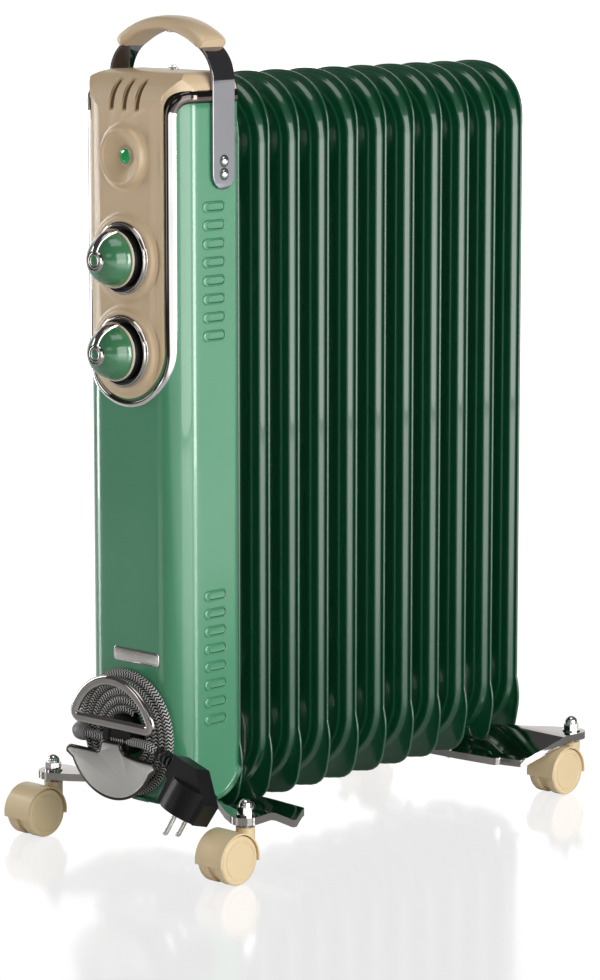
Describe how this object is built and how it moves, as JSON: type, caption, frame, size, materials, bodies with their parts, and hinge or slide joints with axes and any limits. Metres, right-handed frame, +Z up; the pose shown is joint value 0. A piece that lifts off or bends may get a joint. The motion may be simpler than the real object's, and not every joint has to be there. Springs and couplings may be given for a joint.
{
  "type": "oil filled radiator heater",
  "caption": "Oil filled column radiator on four swivel casters, with a green sheet cover, cream control panel, two knobs, bail handle and a lead wound on its front.",
  "frame": {"origin": "centre of the bounding box of everything but the lead and plug, on the floor under the casters", "axes": "+Z up, -Y out of the control end with the knobs, X across the width of the fins"},
  "size_m": [0.245, 0.4688, 0.659],
  "materials": {
    "fin_paint": "dark green gloss stove enamel",
    "cover_paint": "mid green satin gloss enamel",
    "cream_plastic": "cream moulded plastic, soft gloss",
    "caster_cream": "warm cream moulded plastic",
    "chrome_trim": "bright chrome plate",
    "plain_steel": "plain zinc plated steel",
    "grey_plastic": "grey moulded plastic",
    "knob_green": "green moulded plastic, high gloss",
    "lamp_green": "clear green plastic lens",
    "black_rubber": "soft black moulding",
    "braid": "black and white zigzag textile braid"
  },
  "bodies": {
    "heater": {"fin_01": "fin_paint", "fin_02": "fin_paint", "fin_03": "fin_paint", "fin_04": "fin_paint", "fin_05": "fin_paint", "fin_06": "fin_paint", "fin_07": "fin_paint", "fin_08": "fin_paint", "fin_09": "fin_paint", "fin_10": "fin_paint", "fin_11": "fin_paint", "header_rings": "fin_paint", "heating_element": "plain_steel", "filler_plug": "plain_steel", "end_cover": "cover_paint", "heat_shield": "plain_steel", "control_panel": "cream_plastic", "trim_strip": "chrome_trim", "lamp_lens": "lamp_green", "bezel_upper": "chrome_trim", "bezel_lower": "chrome_trim", "selector_switch": "grey_plastic", "thermostat": "grey_plastic", "terminal_block": "cream_plastic", "handle_strap": "chrome_trim", "handle_grip": "cream_plastic", "screws": "plain_steel", "badge_plate": "chrome_trim", "winder_hub": "grey_plastic", "winder_ring": "chrome_trim", "winder_plate": "chrome_trim", "cord_gland": "grey_plastic", "cord_coil": "braid", "cord_lead": "braid", "plug_relief": "black_rubber", "plug_body": "black_rubber", "plug_pins": "plain_steel", "foot_front": "chrome_trim", "foot_rear": "chrome_trim", "foot_clamps": "plain_steel", "cap_nuts": "chrome_trim", "caster_stems": "plain_steel"},
    "selector_knob": {"knob_upper": "knob_green", "pointer_upper": "chrome_trim", "shaft_upper": "grey_plastic"},
    "thermostat_knob": {"knob_lower": "knob_green", "pointer_lower": "chrome_trim", "shaft_lower": "grey_plastic"},
    "swivel_fr": {"hood_fr": "caster_cream"},
    "roller_fr_out": {"wheel_fr_out": "caster_cream"},
    "roller_fr_in": {"wheel_fr_in": "caster_cream"},
    "swivel_fl": {"hood_fl": "caster_cream"},
    "roller_fl_out": {"wheel_fl_out": "caster_cream"},
    "roller_fl_in": {"wheel_fl_in": "caster_cream"},
    "swivel_rr": {"hood_rr": "caster_cream"},
    "roller_rr_out": {"wheel_rr_out": "caster_cream"},
    "roller_rr_in": {"wheel_rr_in": "caster_cream"},
    "swivel_rl": {"hood_rl": "caster_cream"},
    "roller_rl_out": {"wheel_rl_out": "caster_cream"},
    "roller_rl_in": {"wheel_rl_in": "caster_cream"}
  },
  "joints": [
    {"name": "selector_turn", "type": "hinge", "parent": "heater", "child": "selector_knob", "pos_m": [0, -0.218, 0.475], "axis": [0, -1, 0], "range_deg": [-90, 90]},
    {"name": "thermostat_turn", "type": "hinge", "parent": "heater", "child": "thermostat_knob", "pos_m": [0, -0.218, 0.403], "axis": [0, -1, 0], "range_deg": [-135, 135]},
    {"name": "swivel_fr_turn", "type": "hinge", "parent": "heater", "child": "swivel_fr", "pos_m": [0.1085, -0.178, 0.04], "axis": [0, 0, 1], "continuous": true},
    {"name": "roller_fr_out_spin", "type": "hinge", "parent": "swivel_fr", "child": "roller_fr_out", "pos_m": [0.1085, -0.198, 0.0195], "axis": [1, 0, 0], "continuous": true},
    {"name": "roller_fr_in_spin", "type": "hinge", "parent": "swivel_fr", "child": "roller_fr_in", "pos_m": [0.1085, -0.198, 0.0195], "axis": [1, 0, 0], "continuous": true},
    {"name": "swivel_fl_turn", "type": "hinge", "parent": "heater", "child": "swivel_fl", "pos_m": [-0.1085, -0.178, 0.04], "axis": [0, 0, 1], "continuous": true},
    {"name": "roller_fl_out_spin", "type": "hinge", "parent": "swivel_fl", "child": "roller_fl_out", "pos_m": [-0.1085, -0.198, 0.0195], "axis": [1, 0, 0], "continuous": true},
    {"name": "roller_fl_in_spin", "type": "hinge", "parent": "swivel_fl", "child": "roller_fl_in", "pos_m": [-0.1085, -0.198, 0.0195], "axis": [1, 0, 0], "continuous": true},
    {"name": "swivel_rr_turn", "type": "hinge", "parent": "heater", "child": "swivel_rr", "pos_m": [0.1085, 0.22, 0.04], "axis": [0, 0, 1], "continuous": true},
    {"name": "roller_rr_out_spin", "type": "hinge", "parent": "swivel_rr", "child": "roller_rr_out", "pos_m": [0.1085, 0.2, 0.0195], "axis": [1, 0, 0], "continuous": true},
    {"name": "roller_rr_in_spin", "type": "hinge", "parent": "swivel_rr", "child": "roller_rr_in", "pos_m": [0.1085, 0.2, 0.0195], "axis": [1, 0, 0], "continuous": true},
    {"name": "swivel_rl_turn", "type": "hinge", "parent": "heater", "child": "swivel_rl", "pos_m": [-0.1085, 0.22, 0.04], "axis": [0, 0, 1], "continuous": true},
    {"name": "roller_rl_out_spin", "type": "hinge", "parent": "swivel_rl", "child": "roller_rl_out", "pos_m": [-0.1085, 0.2, 0.0195], "axis": [1, 0, 0], "continuous": true},
    {"name": "roller_rl_in_spin", "type": "hinge", "parent": "swivel_rl", "child": "roller_rl_in", "pos_m": [-0.1085, 0.2, 0.0195], "axis": [1, 0, 0], "continuous": true}
  ]
}
